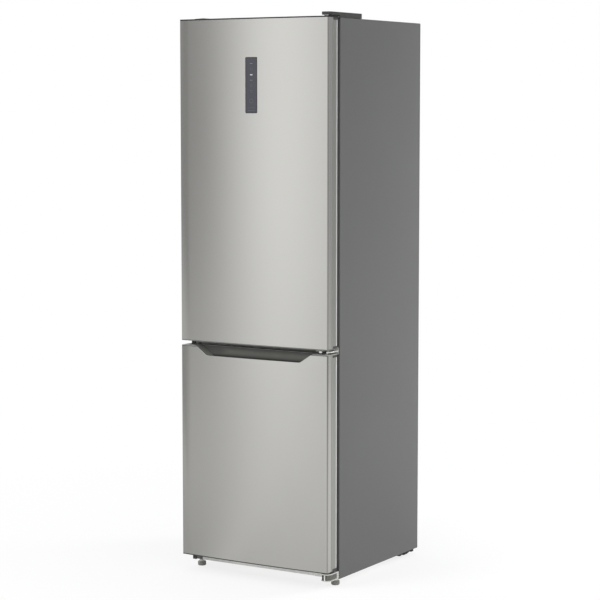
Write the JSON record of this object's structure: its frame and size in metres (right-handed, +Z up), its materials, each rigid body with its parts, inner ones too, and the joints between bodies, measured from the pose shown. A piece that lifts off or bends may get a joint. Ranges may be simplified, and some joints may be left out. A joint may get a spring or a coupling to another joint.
{
  "type": "bottom freezer refrigerator",
  "caption": "Tall free-standing refrigerator with a bowed stainless door over a bottom freezer door, a scooped handle between them and an upright touch display.",
  "frame": {"origin": "on the floor, under the middle of the bounding box", "axes": "+Z up, +X to the right of a person who faces the doors, +Y to the back; the doors face -Y"},
  "size_m": [0.595, 0.654, 1.9445],
  "materials": {
    "inox": "satin stainless steel",
    "paint": "grey coil-coated steel, satin",
    "galvanised": "galvanised sheet steel",
    "zinc": "zinc-plated pressed steel",
    "black_steel": "black enamelled steel",
    "copper": "drawn copper tube",
    "aluminium": "plain aluminium fins",
    "grey_trim": "extruded plastic with a satin silver-grey lacquer",
    "dark_plastic": "dark grey moulded plastic",
    "black_plastic": "black moulded plastic",
    "white_plastic": "white thermoformed or moulded plastic",
    "clear_plastic": "clear moulded plastic",
    "foot_grey": "grey moulded plastic",
    "gasket": "soft grey magnetic seal",
    "foam": "rigid foam insulation",
    "glass": "clear tempered glass with plastic trims",
    "display": "dark touch display window"
  },
  "bodies": {
    "cabinet": {"cabinet_shell": "paint", "base_panel": "galvanised", "centre_rail": "paint", "rear_panel": "galvanised", "foam_insulation": "foam", "fridge_liner": "white_plastic", "freezer_liner": "white_plastic", "glass_shelf_1": "glass", "glass_shelf_2": "glass", "glass_shelf_3": "glass", "crisper_cover_shelf": "glass", "fridge_air_duct": "white_plastic", "fridge_lamp": "clear_plastic", "freezer_air_cover": "white_plastic", "evaporator": "aluminium", "compressor_tray": "galvanised", "compressor": "black_steel", "compressor_relay_box": "black_plastic", "evaporation_tray": "dark_plastic", "discharge_tube": "copper", "machine_room_cover": "black_plastic", "roller_bracket_left": "black_plastic", "roller_bracket_right": "black_plastic", "top_hinge_bracket": "zinc", "top_hinge_pin": "zinc", "top_hinge_cover": "dark_plastic", "top_blanking_cover": "dark_plastic", "middle_hinge_bracket": "zinc", "middle_hinge_pin": "zinc", "bottom_hinge_bracket": "zinc", "bottom_hinge_pin": "zinc"},
    "fridge_door": {"fridge_door_skin": "inox", "fridge_door_trim_left": "grey_trim", "fridge_door_trim_right": "grey_trim", "fridge_door_top_cap": "dark_plastic", "fridge_door_bottom_cap": "dark_plastic", "fridge_door_core": "foam", "fridge_door_liner": "white_plastic", "fridge_door_gasket": "gasket", "display_panel": "display", "door_bin_bottom": "clear_plastic", "door_bin_middle": "clear_plastic", "door_bin_top": "clear_plastic"},
    "freezer_door": {"freezer_door_skin": "inox", "freezer_door_trim_left": "grey_trim", "freezer_door_trim_right": "grey_trim", "freezer_door_grip_cap": "dark_plastic", "freezer_door_bottom_cap": "dark_plastic", "freezer_door_core": "foam", "freezer_door_liner": "white_plastic", "freezer_door_gasket": "gasket"},
    "crisper_drawer_body": {"crisper_drawer": "clear_plastic"},
    "freezer_drawer_bottom_body": {"freezer_drawer_bottom": "clear_plastic"},
    "freezer_drawer_middle_body": {"freezer_drawer_middle": "clear_plastic"},
    "freezer_drawer_top_body": {"freezer_drawer_top": "clear_plastic"},
    "front_foot_left_body": {"front_foot_left": "foot_grey"},
    "front_foot_right_body": {"front_foot_right": "foot_grey"},
    "rear_roller_left_body": {"rear_roller_left": "black_plastic"},
    "rear_roller_right_body": {"rear_roller_right": "black_plastic"},
    "evaporator_fan_body": {"evaporator_fan": "black_plastic"}
  },
  "joints": [
    {"name": "fridge_door_hinge", "type": "hinge", "parent": "cabinet", "child": "fridge_door", "pos_m": [0.277, -0.289, 0.818], "axis": [0, 0, 1], "range_deg": [0, 130]},
    {"name": "freezer_door_hinge", "type": "hinge", "parent": "cabinet", "child": "freezer_door", "pos_m": [0.277, -0.289, 0.056], "axis": [0, 0, 1], "range_deg": [0, 130]},
    {"name": "crisper_slide", "type": "slide", "parent": "cabinet", "child": "crisper_drawer_body", "axis": [0, -1, 0], "range_m": [0, 0.2271]},
    {"name": "freezer_drawer_bottom_slide", "type": "slide", "parent": "cabinet", "child": "freezer_drawer_bottom_body", "axis": [0, -1, 0], "range_m": [0, 0.1704]},
    {"name": "freezer_drawer_middle_slide", "type": "slide", "parent": "cabinet", "child": "freezer_drawer_middle_body", "axis": [0, -1, 0], "range_m": [0, 0.1704]},
    {"name": "freezer_drawer_top_slide", "type": "slide", "parent": "cabinet", "child": "freezer_drawer_top_body", "axis": [0, -1, 0], "range_m": [0, 0.1704]},
    {"name": "front_foot_left_turn", "type": "hinge", "parent": "cabinet", "child": "front_foot_left_body", "pos_m": [-0.2765, -0.231, 0], "axis": [0, 0, 1], "range_deg": [-360, 720]},
    {"name": "front_foot_right_turn", "type": "hinge", "parent": "cabinet", "child": "front_foot_right_body", "pos_m": [0.2765, -0.231, 0], "axis": [0, 0, 1], "range_deg": [-360, 720]},
    {"name": "rear_roller_left_spin", "type": "hinge", "parent": "cabinet", "child": "rear_roller_left_body", "pos_m": [-0.258, 0.256, 0.017], "axis": [1, 0, 0], "continuous": true},
    {"name": "rear_roller_right_spin", "type": "hinge", "parent": "cabinet", "child": "rear_roller_right_body", "pos_m": [0.258, 0.256, 0.017], "axis": [1, 0, 0], "continuous": true},
    {"name": "evaporator_fan_spin", "type": "hinge", "parent": "cabinet", "child": "evaporator_fan_body", "pos_m": [0, 0.226, 0.69], "axis": [0, 1, 0], "continuous": true}
  ],
  "couplings": [
    {"joint": "crisper_slide", "follows": "fridge_door_hinge", "m_per_rad": 0.1},
    {"joint": "freezer_drawer_bottom_slide", "follows": "freezer_door_hinge", "m_per_rad": 0.075},
    {"joint": "freezer_drawer_middle_slide", "follows": "freezer_door_hinge", "m_per_rad": 0.075},
    {"joint": "freezer_drawer_top_slide", "follows": "freezer_door_hinge", "m_per_rad": 0.075}
  ]
}
